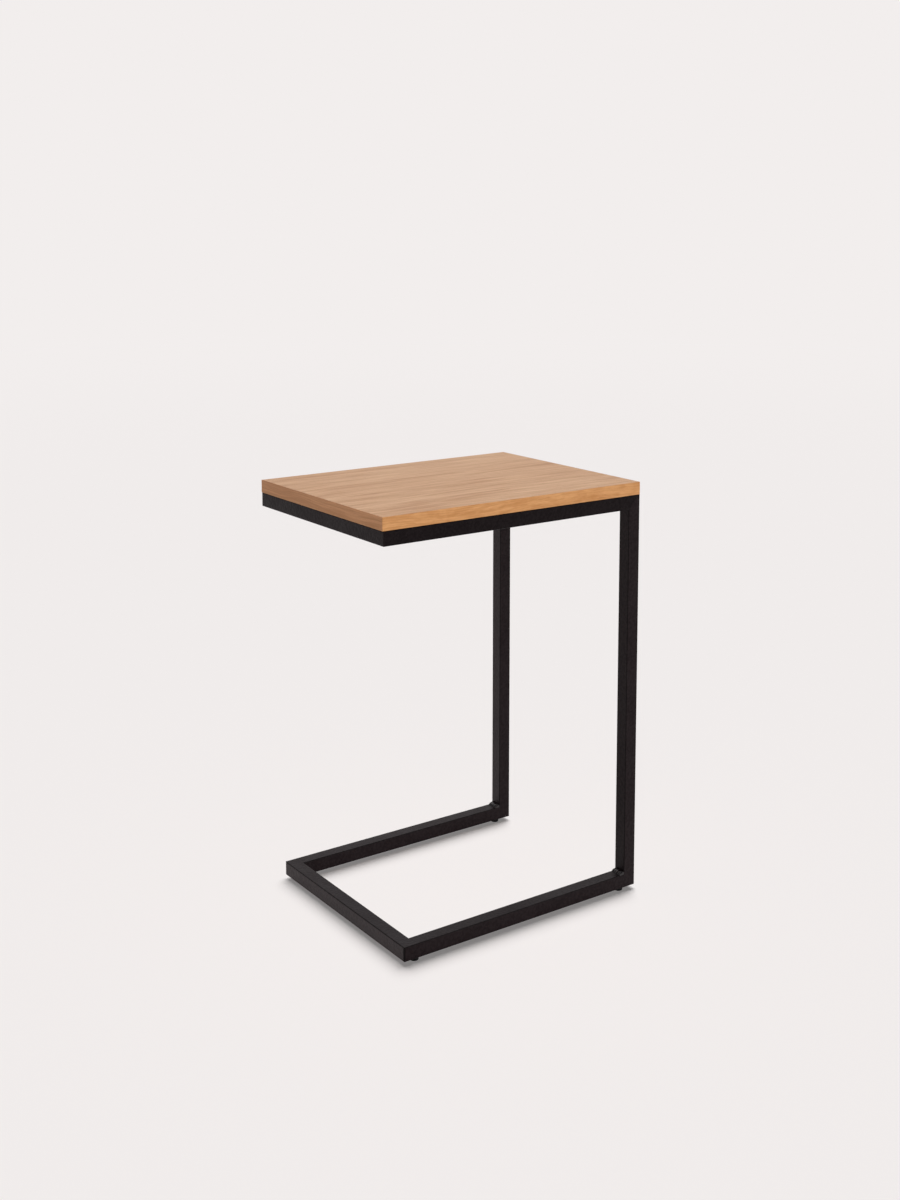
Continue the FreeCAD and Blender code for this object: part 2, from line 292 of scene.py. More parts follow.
class WoodFigure(SharedEffect):
    """Year rings, streaks and pores of a leaf cut flat from an oak log, with its grain along X.

    Lengths are in millimetres here, so a scale counts lumps to each of them.
    """

    name = "wood_figure"
    inputs = {"Place": "Vector", "Heart Depth": "Float", "Heart Side": "Float", "Ring Width": "Float"}
    outputs = ("Rings", "Streaks", "Pores", "Drift", "Lines", "Mottle")

    sway = Lumps((0.0045, 0.012, 0.012))
    sway_reach = (-9.0, 9.0)
    ripple = Lumps((0.016, 0.09, 0.09), 3.0, 0.6)
    ripple_reach = (-3.4, 3.4)
    log_taper = 0.03
    early_wood = (0.0, 0.42)
    next_ring = (0.9, 1.0)
    years = Lumps((0.45, 1.0, 1.0), 2.0, 0.6)
    year_spread = (0.36, 0.64)
    year_strength = (0.08, 1.0)
    ripple_lean = 0.6
    sway_lean = 1.5
    streak_layers = ((Lumps((0.0070, 0.15, 0.15), 3.0, 0.65), 0.36),
                     (Lumps((0.014, 1.0, 1.0), 3.0, 0.65), 0.28),
                     (Lumps((0.011, 0.42, 0.42), 2.0, 0.6), 0.36))
    streak_cut = (0.42, 0.58)
    flow = Lumps((0.0012, 0.033, 0.033))
    flow_lines = 4.4
    line_width = (0.0, 0.32)
    breaks = Lumps((0.0085, 0.050, 0.050), 2.0, 0.6, (0.38, 0.56))
    vessels = Lumps((0.11, 3.2, 3.2), 1.0, 0.4, (0.60, 0.70))
    fibres = Lumps((0.045, 5.5, 5.5), 1.0, 0.4, (0.62, 0.74))
    fibre_share = 0.55
    pores_left = (0.22, 1.0)
    drift = Lumps((0.004, 0.016, 0.016), cut=(0.3, 0.7))
    mottle = Lumps((0.045, 0.19, 0.19), 3.0, 0.6, (0.38, 0.62))

    def wire(self, graph: Graph) -> dict[str, Feed]:
        """Cut the log's cones of growth with the leaf's plane, and lay pores along the early wood.

        Args:
            graph: the group's own tree.

        Returns:
            The masks of the figure.
        """
        given = graph.given
        place = graph.stretch(given["Place"], 1.0 / MM)
        along, across, deep = graph.split(place)
        sway = graph.remap(graph.noise(place, self.sway), RISING, self.sway_reach)
        ripple = graph.remap(graph.noise(place, self.ripple), RISING, self.ripple_reach)
        side = graph.math("ADD", graph.math("SUBTRACT", across, given["Heart Side"]), sway)
        level = graph.math("ADD", deep, given["Heart Depth"])
        depth = graph.math("ADD", level, graph.times(along, self.log_taper))
        radius = graph.math("ADD", graph.math("SQRT", graph.weigh((side, side), (depth, depth))), ripple)
        age = graph.math("DIVIDE", radius, given["Ring Width"])
        ring = graph.math("FRACT", age)
        early = graph.ease(ring, self.early_wood, FALLING)
        rings = graph.math("MAXIMUM", early, graph.ease(ring, self.next_ring))
        good_year = graph.noise(graph.join(graph.math("FLOOR", age), 0.5, 0.5), self.years)
        rings = graph.times(rings, graph.remap(good_year, self.year_spread, self.year_strength))

        lean = graph.weigh((ripple, self.ripple_lean), (sway, self.sway_lean))
        bent = graph.join(along, graph.math("ADD", across, lean), deep)
        streaks = graph.weigh(*((graph.noise(bent, lumps), share) for lumps, share in self.streak_layers))
        contour = graph.math("FRACT", graph.times(graph.noise(bent, self.flow), self.flow_lines))
        lines = graph.ease(contour, self.line_width, FALLING)
        fibres = graph.times(graph.noise(place, self.fibres), self.fibre_share)
        pores = graph.math("MAXIMUM", graph.noise(place, self.vessels), fibres)
        return {"Rings": rings, "Streaks": graph.ease(streaks, self.streak_cut),
                "Pores": graph.times(pores, graph.remap(rings, RISING, self.pores_left)),
                "Drift": graph.noise(place, self.drift),
                "Lines": graph.times(lines, graph.noise(place, self.breaks)),
                "Mottle": graph.noise(bent, self.mottle)}


class SkinTexture(SharedEffect):
    """Even skin of baked powder or moulded plastic, with small dimples and slow changes of sheen."""

    name = "skin_texture"
    inputs = {"Place": "Vector", "Dimple Size": "Float"}
    outputs = ("Height", "Sheen", "Specks", "Drifts")

    dimples = Lumps(1.0, 2.0, 0.55)
    dimple_share = 0.8
    grit = Lumps(4.0, 1.0)
    specks = Lumps(1.7, 0.0, cut=(0.74, 0.8), soft=False)
    sheen = Lumps(22.0, 3.0, 0.6, (0.3, 0.7))
    drifts = Lumps(230.0, 2.0, 0.6, (0.36, 0.64))

    def wire(self, graph: Graph) -> dict[str, Feed]:
        """Lay dimples of the given size, finer grit on them and broad clouds under them.

        Args:
            graph: the group's own tree.

        Returns:
            The height of the skin and its masks.
        """
        place = graph.given["Place"]
        scale = graph.math("DIVIDE", 1.0, graph.given["Dimple Size"])
        scaled = graph.add("VectorMath", place, operation="SCALE", Scale=scale).outputs[0]
        height = graph.weigh((graph.noise(scaled, self.dimples), self.dimple_share),
                             (graph.noise(scaled, self.grit), 1.0 - self.dimple_share))
        return {"Height": height, "Sheen": graph.noise(place, self.sheen),
                "Specks": graph.noise(scaled, self.specks), "Drifts": graph.noise(place, self.drifts)}


class RoundedEdges(SharedEffect):
    """Mask of the narrow rounds between flat faces, where hands and floors rub first and where the powder
    coat paints shade.
    """

    name = "rounded_edges"
    inputs = {"Place": "Vector", "Facing": "Vector"}
    outputs = ("Round", "Rub")

    turned_away = (0.97, 0.85)
    patches = Lumps(35.0, 4.0, 0.65, (0.52, 0.7))

    def wire(self, graph: Graph) -> dict[str, Feed]:
        """Find where the surface turns away from all three axes, and break it up into patches.

        Args:
            graph: the group's own tree.

        Returns:
            The mask of the rounds, and of the rubbed patches on them.
        """
        x, y, z = (graph.math("ABSOLUTE", part) for part in graph.split(graph.given["Facing"]))
        most = graph.math("MAXIMUM", graph.math("MAXIMUM", x, y), z)
        rounded = graph.ease(most, self.turned_away)
        patches = graph.noise(graph.given["Place"], self.patches)
        return {"Round": rounded, "Rub": graph.times(rounded, patches)}


class SettledDust(SharedEffect):
    """Thin dust on whatever faces up."""

    name = "settled_dust"
    inputs = {"Place": "Vector", "Facing": "Vector"}
    outputs = ("Dust",)

    level = (0.6, 1.0)
    patches = Lumps(60.0, 5.0, 0.7, (0.35, 0.75), soft=False)
    motes = Lumps(1400.0, 1.0, cut=(0.45, 0.7), soft=False)

    def wire(self, graph: Graph) -> dict[str, Feed]:
        """Let dust lie on level faces, thicker in some patches than in others.

        Args:
            graph: the group's own tree.

        Returns:
            The mask of the dust.
        """
        place = graph.given["Place"]
        level = graph.ease(graph.split(graph.given["Facing"])[2], self.level)
        lying = graph.times(graph.noise(place, self.patches), graph.noise(place, self.motes))
        return {"Dust": graph.times(level, lying)}


# ---------------------------------------------------------------------------- finishes


class GrainRun(Enum):
    """Which way the grain of a leaf runs, as the turn that brings the leaf's plane into XY."""

    FLAT_ALONG_LENGTH = (0.0, 0.0, 0.0)
    UPRIGHT_ALONG_LENGTH = (-math.pi / 2, 0.0, 0.0)
    UPRIGHT_ALONG_WIDTH = (-math.pi / 2, -math.pi / 2, 0.0)


@dataclass(frozen=True)
class Finish(ABC):
    """One surface finish, made into a material the first time that a piece wears it."""

    name: str
    slot: str
    made: ClassVar[dict[str, bpy.types.Material]] = {}

    def material(self) -> bpy.types.Material:
        """Return the finish's material."""
        if self.name in self.made:
            return self.made[self.name]
        material = bpy.data.materials.new(self.name)
        self.made[self.name] = material
        material.use_nodes = True
        graph = Graph(material.node_tree)
        point = graph.add("TexCoord").outputs
        graph.given = {"Place": point["Object"], "Facing": point["Normal"]}
        shader = graph.add("BsdfPrincipled", **self.paint(graph))
        graph.add("OutputMaterial", shader.outputs[0])
        return material

    @abstractmethod
    def paint(self, graph: Graph) -> dict[str, Feed]:
        """Work out the colour, gloss and relief of the finish.

        Args:
            graph: the material's tree.

        Returns:
            What goes into the shader's inputs, by their names with _ for a space.
        """


@dataclass(frozen=True)
class OakVeneer(Finish):
    """Oak leaf under a thin satin lacquer, with its log's heart and rings in millimetres."""

    pale: Colour
    deep: Colour
    ring: Colour
    pore: Colour
    run: GrainRun = GrainRun.FLAT_ALONG_LENGTH
    heart_depth: float = 60.0
    heart_side: float = 20.0
    ring_width: float = 4.2
    mottle: float = 0.0
    streaks: float = 0.74
    rings: float = 0.34
    lines: float = 0.5
    pores: float = 0.62
    rub: float = 0.25
    pore_dulling: float = 0.6
    streak_relief: float = 0.15
    relief: float = 0.06 * MM
    gloss: Span = (0.40, 0.52)
    lacquer: float = 0.06
    lacquer_gloss: float = 0.32
    reflection: float = 0.28

    def paint(self, graph: Graph) -> dict[str, Feed]:
        """Colour the leaf from its figure, and sink the pores through the lacquer.

        Args:
            graph: the material's tree.

        Returns:
            The shader's inputs by name.
        """
        leaf = graph.add("Mapping", graph.given["Place"], Rotation=self.run.value).outputs[0]
        figure = WoodFigure().put(graph, Place=leaf, Heart_Depth=self.heart_depth,
                                  Heart_Side=self.heart_side, Ring_Width=self.ring_width)
        edges = RoundedEdges().put(graph)
        plain = 1.0 - self.mottle
        tone = graph.weigh((figure["Streaks"], self.streaks * plain),
                           (figure["Drift"], (1.0 - self.streaks) * plain),
                           (figure["Mottle"], self.mottle))
        colour = graph.coats(
            graph.tint(tone, self.deep, self.pale), (figure["Rings"], self.rings, self.ring),
            (figure["Lines"], self.lines, self.ring), (figure["Pores"], self.pores, self.pore),
            (edges["Rub"], self.rub, self.pale))
        dull = graph.weigh((figure["Pores"], self.pore_dulling),
                           (figure["Streaks"], 1.0 - self.pore_dulling))
        height = graph.weigh((figure["Streaks"], self.streak_relief), (figure["Pores"], -1.0))
        return {"Base_Color": colour, "Roughness": graph.remap(dull, RISING, self.gloss),
                "Normal": graph.bump(height, self.relief), "Specular_IOR_Level": self.reflection,
                "Coat_Weight": self.lacquer, "Coat_Roughness": self.lacquer_gloss}


@dataclass(frozen=True)
class ChipCore(Finish):
    """Pressed wood chips, as the core shows wherever it is cut."""

    pale: Colour = (0.50, 0.34, 0.18)
    dark: Colour = (0.20, 0.11, 0.05)
    chips: Triple = (260.0, 420.0, 900.0)
    grit: Lumps = Lumps(2500.0)
    grit_share: float = 0.25
    gloss: Span = (0.8, 0.95)
    gap: Span = (0.0, 0.8)
    relief: float = 0.2 * MM

    def paint(self, graph: Graph) -> dict[str, Feed]:
        """Colour each chip on its own, and leave small gaps between chips.

        Args:
            graph: the material's tree.

        Returns:
            The shader's inputs by name.
        """
        place = graph.given["Place"]
        cells = graph.add("TexVoronoi", graph.stretch(place, self.chips), feature="F1", Scale=1.0)
        grit = graph.noise(place, self.grit)
        colour = graph.tint(graph.split(cells.outputs["Color"])[0], self.dark, self.pale)
        height = graph.remap(cells.outputs["Distance"], self.gap, FALLING)
        return {"Base_Color": graph.coats(colour, (grit, self.grit_share, self.dark)),
                "Roughness": graph.remap(grit, RISING, self.gloss),
                "Normal": graph.bump(height, self.relief)}


@dataclass(frozen=True)
class PowderCoat(Finish):
    """Fine-textured satin black powder, baked on steel."""

    black: Colour = (0.0046, 0.0010, 0.0018)
    cloud: Colour = (0.0148, 0.0094, 0.0105)
    # Painted shade: the arris colour darkens the rounds between faces.
    arris: Colour = (0.0010, 0.0006, 0.0007)
    dust: Colour = (0.130, 0.104, 0.104)
    dimple_size: float = 1.6 * MM
    dimple_cut: Span = (0.40, 0.60)
    relief: float = 0.08 * MM
    orange_peel: float = 1.6
    sheen_share: float = 0.25
    dimple_share: float = 0.25
    drift_share: float = 0.5
    speck_share: float = 0.5
    arris_shade_share: float = 0.9
    rub_share: float = 0.03
    dust_share: float = 0.10
    dust_dulling: float = 0.12
    rub_polish: float = 0.06
    gloss: Span = (0.36, 0.46)
    reflection: float = 0.09

    def paint(self, graph: Graph) -> dict[str, Feed]:
        """Vary the black very slightly, darken it on the arrises as painted shade and dull it where dust
        lies.

        Args:
            graph: the material's tree.

        Returns:
            The shader's inputs by name.
        """
        skin = SkinTexture().put(graph, Dimple_Size=self.dimple_size)
        edges = RoundedEdges().put(graph)
        dust = SettledDust().put(graph)["Dust"]
        patches = graph.weigh((skin["Sheen"], self.sheen_share),
                              (graph.ease(skin["Height"], self.dimple_cut), self.dimple_share),
                              (skin["Drifts"], self.drift_share))
        # The arris coat is painted shade laid on the rounds between faces.
        colour = graph.coats(
            graph.tint(patches, self.black, self.cloud), (skin["Specks"], self.speck_share, self.cloud),
            (edges["Round"], self.arris_shade_share, self.arris), (edges["Rub"], self.rub_share, self.dust),
            (dust, self.dust_share, self.dust))
        rough = graph.weigh((graph.remap(skin["Sheen"], RISING, self.gloss), 1.0),
                            (dust, self.dust_dulling), (edges["Rub"], -self.rub_polish))
        height = graph.math("ADD", skin["Height"], graph.times(skin["Drifts"], self.orange_peel))
        return {"Base_Color": colour, "Roughness": rough, "Normal": graph.bump(height, self.relief),
                "Specular_IOR_Level": self.reflection}


@dataclass(frozen=True)
class BrightZinc(Finish):
    """Zinc plate on turned steel screws, with a thin yellow to blue film."""

    plate: Colour = (0.60, 0.60, 0.58)
    film: Colour = (0.62, 0.56, 0.42)
    grime: Colour = (0.16, 0.15, 0.14)
    clouds: Lumps = Lumps(420.0, 3.0, 0.6, (0.35, 0.65), soft=False)
    spots: Lumps = Lumps(1500.0, cut=(0.56, 0.72), soft=False)
    scratches: Lumps = Lumps((900.0, 6000.0, 3000.0), 2.0, 0.7)
    scratch_cut: Span = (0.3, 0.7)
    gloss: Span = (0.22, 0.36)
    spot_share: float = 0.35
    spot_dulling: float = 0.2
    metal: Span = (1.0, 0.85)
    relief: float = 0.01 * MM

    def paint(self, graph: Graph) -> dict[str, Feed]:
        """Tint the plate in clouds, dull it in spots and lay fine scratches on it.

        Args:
            graph: the material's tree.

        Returns:
            The shader's inputs by name.
        """
        place = graph.given["Place"]
        spots = graph.noise(place, self.spots)
        scratches = graph.noise(place, self.scratches)
        colour = graph.tint(graph.noise(place, self.clouds), self.plate, self.film)
        rough = graph.weigh((graph.remap(scratches, self.scratch_cut, self.gloss), 1.0),
                            (spots, self.spot_dulling))
        return {"Base_Color": graph.coats(colour, (spots, self.spot_share, self.grime)),
                "Roughness": rough, "Metallic": graph.remap(spots, RISING, self.metal),
                "Normal": graph.bump(scratches, self.relief)}


@dataclass(frozen=True)
class MouldedPlastic(Finish):
    """Black plastic with the fine matt skin of its mould, scuffed where it meets the floor."""

    black: Colour = (0.006, 0.006, 0.0065)
    scuffed: Colour = (0.03, 0.029, 0.028)
    scrapes: Lumps = Lumps((700.0, 2600.0, 700.0), 3.0, 0.7, (0.4, 0.65), soft=False)
    scuffed_up_to: float = 1.2 * MM
    scuff_share: float = 0.8
    scuff_dulling: float = 0.25
    dimple_size: float = 0.35 * MM
    gloss: Span = (0.42, 0.52)
    relief: float = 0.02 * MM
    reflection: float = 0.12

    def paint(self, graph: Graph) -> dict[str, Feed]:
        """Scuff the lowest millimetre, and keep the mould's matt skin above it.

        Args:
            graph: the material's tree.

        Returns:
            The shader's inputs by name.
        """
        skin = SkinTexture().put(graph, Dimple_Size=self.dimple_size)
        place = graph.given["Place"]
        low = graph.ease(graph.split(place)[2], (0.0, self.scuffed_up_to), FALLING)
        scuff = graph.times(low, graph.noise(place, self.scrapes))
        rough = graph.weigh((graph.remap(skin["Sheen"], RISING, self.gloss), 1.0),
                            (scuff, self.scuff_dulling))
        return {"Base_Color": graph.coats(self.black, (scuff, self.scuff_share, self.scuffed)),
                "Roughness": rough, "Normal": graph.bump(skin["Height"], self.relief),
                "Specular_IOR_Level": self.reflection}


FACE_OAK = OakVeneer(
    "face_oak", "oak_face", pale=(0.740, 0.450, 0.240), deep=(0.515, 0.238, 0.080),
    ring=(0.46, 0.190, 0.050), pore=(0.28, 0.115, 0.030), heart_depth=150.0, heart_side=-330.0, lines=0.8)
BACKING_OAK = OakVeneer(
    "backing_oak", "oak_backing", pale=(0.52, 0.32, 0.18), deep=(0.40, 0.235, 0.125),
    ring=(0.34, 0.19, 0.095), pore=(0.22, 0.11, 0.05), heart_depth=85.0, heart_side=-60.0,
    gloss=(0.55, 0.7), lacquer=0.05)
LONG_EDGE_OAK = OakVeneer(
    "long_edge_oak", "oak_edge", pale=(0.67, 0.340, 0.132), deep=(0.49, 0.210, 0.062),
    ring=(0.42, 0.170, 0.052), pore=(0.27, 0.10, 0.03), run=GrainRun.UPRIGHT_ALONG_LENGTH,
    heart_depth=-120.0, heart_side=-560.0, ring_width=3.2, mottle=0.45, lines=0.2)
# The short edges' oak is painted darker and greyer than the long edges': painted shade and a painted haze
# of reflection on the same veneer.
SHADED_SHORT_EDGE_OAK = OakVeneer(
    "short_edge_oak", "oak_edge", pale=(0.625, 0.317, 0.156), deep=(0.455, 0.216, 0.098),
    ring=(0.41, 0.19, 0.08), pore=(0.27, 0.11, 0.045), run=GrainRun.UPRIGHT_ALONG_WIDTH,
    heart_depth=-160.0, heart_side=-560.0, ring_width=3.2, lacquer=0.02, reflection=0.1)
CHIPS = ChipCore("pressed_chips", "board_core")
TUBE_BLACK = PowderCoat("satin_black_powder", "black_powder_coat")
# On a bead nearly all of the surface counts as round, so this arris colour, painted shade on the tubes,
# covers most of it.
WELD_BLACK = PowderCoat(
    "satin_black_on_weld", "black_weld", arris=(0.0110, 0.0085, 0.0092), dimple_size=0.6 * MM,
    relief=0.10 * MM, gloss=(0.24, 0.34), reflection=0.42)
ZINC = BrightZinc("bright_zinc", "zinc_screw")
FOOT_BLACK = MouldedPlastic("matt_black_plastic", "foot_plastic")


# ---------------------------------------------------------------------------- pieces


def dress(node: str, finish: Finish) -> None:
    """Give a CAD node its finish.

    Args:
        node: the node's name.
        finish: what covers it.
    """
    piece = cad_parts[node]
    material = finish.material()
    if not piece.material_slots:
        piece.data.materials.append(material)
    for slot in piece.material_slots:
        slot.material = material
    LOG.info("%s wears %s", node, finish.name)


def stand(form: Form, name: str) -> Piece:
    """Turn a form into an object of the scene.

    Args:
        form: the form, in its place, in metres. It is freed.
        name: the object's name.

    Returns:
        The object.
    """
    mesh = bpy.data.meshes.new(name)
    form.to_mesh(mesh)
    form.free()
    piece = bpy.data.objects.new(name, mesh)
    bpy.context.scene.collection.objects.link(piece)
    return piece


def pour(extra: Form, form: Form) -> None:
    """Add one form to another.

    Args:
        extra: the form to add. It is freed.
        form: the form that takes it.
    """
    mesh = bpy.data.meshes.new("poured")
    extra.to_mesh(mesh)
    extra.free()
    form.from_mesh(mesh)
    bpy.data.meshes.remove(mesh)


def publish(form: Form, name: str, finish: Finish, stands_for: Sequence[str] = (),
            crease: float = 35.0) -> Piece:
    """Turn a finished form into a piece of the table.

    Args:
        form: the form, in its place, in metres. It is freed.
        name: the piece's name.
        finish: what covers it.
        stands_for: CAD nodes that it takes the place of.
        crease: edges that turn by more than this many degrees stay sharp.

    Returns:
        The piece.
    """
    bmesh.ops.remove_doubles(form, verts=form.verts, dist=MERGE_WITHIN)
    bmesh.ops.recalc_face_normals(form, faces=form.faces)
    piece = stand(form, name)
    piece.data.shade_smooth()
    piece.data.set_sharp_from_angle(angle=math.radians(crease))
    piece.data.materials.append(finish.material())
    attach(piece, BODY)
    if stands_for:
        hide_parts(*stands_for)
    LOG.info("%s: %d faces, wears %s", name, len(piece.data.polygons), finish.name)
    return piece


def ends_of(edges: Sequence[bmesh.types.BMEdge]) -> list[bmesh.types.BMVert]:
    """Return the vertices at the ends of some edges, each of them once."""
    return list(dict.fromkeys(vert for edge in edges for vert in edge.verts))


def block(form: Form, size: Vector, middle: Vector) -> list[bmesh.types.BMVert]:
    """Add a box.

    Args:
        form: the form to add to.
        size: the box's size.
        middle: where its middle is.

    Returns:
        Its corners.
    """
    verts = bmesh.ops.create_cube(form, size=1.0)["verts"]
    bmesh.ops.scale(form, vec=size, verts=verts)
    bmesh.ops.translate(form, vec=middle, verts=verts)
    return verts


def outline_chain(form: Form, points: Sequence[Vector]) -> list[bmesh.types.BMEdge]:
    """Draw an open line through points by extruding one vertex.

    Args:
        form: the form to draw in.
        points: the line's points.

    Returns:
        The line's edges.
    """
    tip = bmesh.ops.create_vert(form, co=points[0])["vert"][0]
    edges = []
    for point in points[1:]:
        made = bmesh.ops.extrude_vert_indiv(form, verts=[tip])
        tip = made["verts"][0]
        tip.co = point
        edges.extend(made["edges"])
    return edges


def turned(form: Form, outline: Sequence[Span], axis_at: Vector, steps: int) -> None:
    """Spin an outline of radius and height about an upright axis.

    Args:
        form: the form to add to.
        outline: radius and height of each point, from the axis round to the axis again.
        axis_at: where the axis stands.
        steps: faces round the full turn.
    """
    edges = outline_chain(form, [axis_at + Vector((radius, 0.0, height)) for radius, height in outline])
    bmesh.ops.spin(form, geom=edges + ends_of(edges), cent=axis_at, axis=UP, dvec=(0.0, 0.0, 0.0),
                   angle=math.tau, steps=steps, use_merge=True)


def rounded_outline(corners: Sequence[Triple], steps: int = 5) -> list[Span]:
    """Round the corners of an open outline with arcs.

    Args:
        corners: radius from the axis, height and corner radius of each point.
        steps: faces on each rounded corner.

    Returns:
        The outline's points.
    """
    points: list[Span] = []
    for index, (x, z, bend) in enumerate(corners):
        here = Vector((x, z))
        if bend <= 0.0 or index in (0, len(corners) - 1):
            points.append((x, z))
            continue
        before = (Vector(corners[index - 1][:2]) - here).normalized()
        after = (Vector(corners[index + 1][:2]) - here).normalized()
        half = before.angle(after) / 2
        start = here + before * bend / math.tan(half)
        centre = here + (before + after).normalized() * bend / math.sin(half)
        sweep = (start - centre).angle_signed(here + after * bend / math.tan(half) - centre)
        for step in range(steps + 1):
            spoke = (start - centre).copy()
            spoke.rotate(Matrix.Rotation(-sweep * step / steps, 2))
            points.append(tuple(centre + spoke))
    return points


@dataclass(frozen=True)
class RippledBead:
    """Weld bead laid in the corner between two faces, one overlapping puddle after another.

    Its round face belongs to a circle whose middle lies sink below the first face and lean in front of
    the second one, so a bead that leans reaches further over the first face. The bow is how far each
    puddle's front bulges, and the crater is the dip where the welder stopped.
    """

    radius: float
    sink: float
    length: float = 12.0 * MM
    lean: float = 0.0
    bury: float = 1.0 * MM
    pitch: float = 4.0 * MM
    ripple: float = 0.5 * MM
    bow: float = 1.5 * MM
    unevenness: float = 0.3 * MM
    back_share: float = 0.78
    back_curve: float = 0.8
    end_round: float = 2.4 * MM
    end_drop: float = 1.3 * MM
    crater: float = 0.0
    crater_span: float = 2.0 * MM
    crater_turn: float = math.radians(68.0)
    crater_fall: float = 1.6
    rim_share: float = 0.35
    rim_at: float = 1.25
    rim_fall: float = 5.0
    seed: int = 1
    steps_round: int = 24
    steps_to_pitch: int = 10

    def puddle_swell(self, share: float) -> float:
        """Return how full a puddle stands at a share of its pitch: a long back and a steep front."""
        return math.sin(math.pi * min(share / self.back_share, 1.0) ** self.back_curve)

    def radius_at(self, along: float, turn: float, middle: float, puddles: Sequence[float]) -> float:
        """Return the bead's radius at one place.

        Args:
            along: distance from the bead's start.
            turn: angle round the bead from the direction of -X.
            middle: the angle of the bead's crest.
            puddles: how much each puddle stands proud of the next.

        Returns:
            The distance of the surface from the bead's axis.
        """
        where = (along - self.bow * math.cos(turn - middle)) / self.pitch
        share = where - math.floor(where)
        first = min(max(int(math.floor(where)) + 1, 0), len(puddles) - 2)
        level = puddles[first] * (1 - share) + puddles[first + 1] * share
        away = math.hypot(along - (self.length - self.crater_span),
                          (turn - self.crater_turn) * self.radius) / self.crater_span
        rim = self.rim_share * math.exp(-((away - self.rim_at) ** 2) * self.rim_fall)
        dip = self.crater * (math.exp(-away * away * self.crater_fall) - rim)
        fade = min(along, self.length - along) / self.end_round
        ends = self.end_drop * (1 - min(fade, 1.0)) ** 2
        return self.radius - self.ripple * (1 - self.puddle_swell(share)) + level - dip - ends

    def lay(self, form: Form, place: Matrix) -> None:
        """Add the bead to a form.

        In its own place the bead runs along +Y from the origin. The first face lies under it, along -X,
        and the second one stands behind it, along +Z. Both hide the bead's back by its bury.

        Args:
            form: the form to add to.
            place: where the bead starts and how it is turned.
        """
        rng = random.Random(self.seed)
        count = max(round(self.length / self.pitch), 1)
        puddles = [rng.uniform(-self.unevenness, self.unevenness) for _ in range(count + 3)]
        rows = count * self.steps_to_pitch
        axis = Vector((-self.lean, 0.0, -self.sink))
        first = math.asin((self.sink - self.bury) / self.radius)
        last = math.pi / 2 + math.asin(min((self.lean + self.bury) / self.radius, 1.0))
        spoke = Vector((-math.cos(first), 0.0, math.sin(first))) * self.radius
        bead = bmesh.new()
        step = Vector((0.0, self.length / rows, 0.0))
        toe = outline_chain(bead, [axis + spoke + step * row for row in range(rows + 1)])
        bmesh.ops.spin(bead, geom=toe + ends_of(toe), cent=axis, axis=(0.0, 1.0, 0.0),
                       dvec=(0.0, 0.0, 0.0), angle=last - first, steps=self.steps_round)
        long_edges = [edge for edge in bead.edges if edge.is_boundary
                      and abs(edge.verts[0].co.y - edge.verts[1].co.y) > step.y / 2]
        for vert in bead.verts:
            spoke = vert.co - axis
            turn = math.atan2(spoke.z, -spoke.x)
            wanted = self.radius_at(spoke.y, turn, (first + last) / 2, puddles) / self.radius
            vert.co = axis + Vector((spoke.x * wanted, spoke.y, spoke.z * wanted))
        back = bmesh.ops.extrude_edge_only(bead, edges=long_edges)["geom"]
        for vert in (part for part in back if isinstance(part, bmesh.types.BMVert)):
            vert.co.x, vert.co.z = self.bury, -self.bury
        bmesh.ops.remove_doubles(bead, verts=bead.verts, dist=MERGE_WITHIN)
        bmesh.ops.holes_fill(bead, edges=[edge for edge in bead.edges if edge.is_boundary])
        bmesh.ops.transform(bead, matrix=place, verts=bead.verts)
        pour(bead, form)


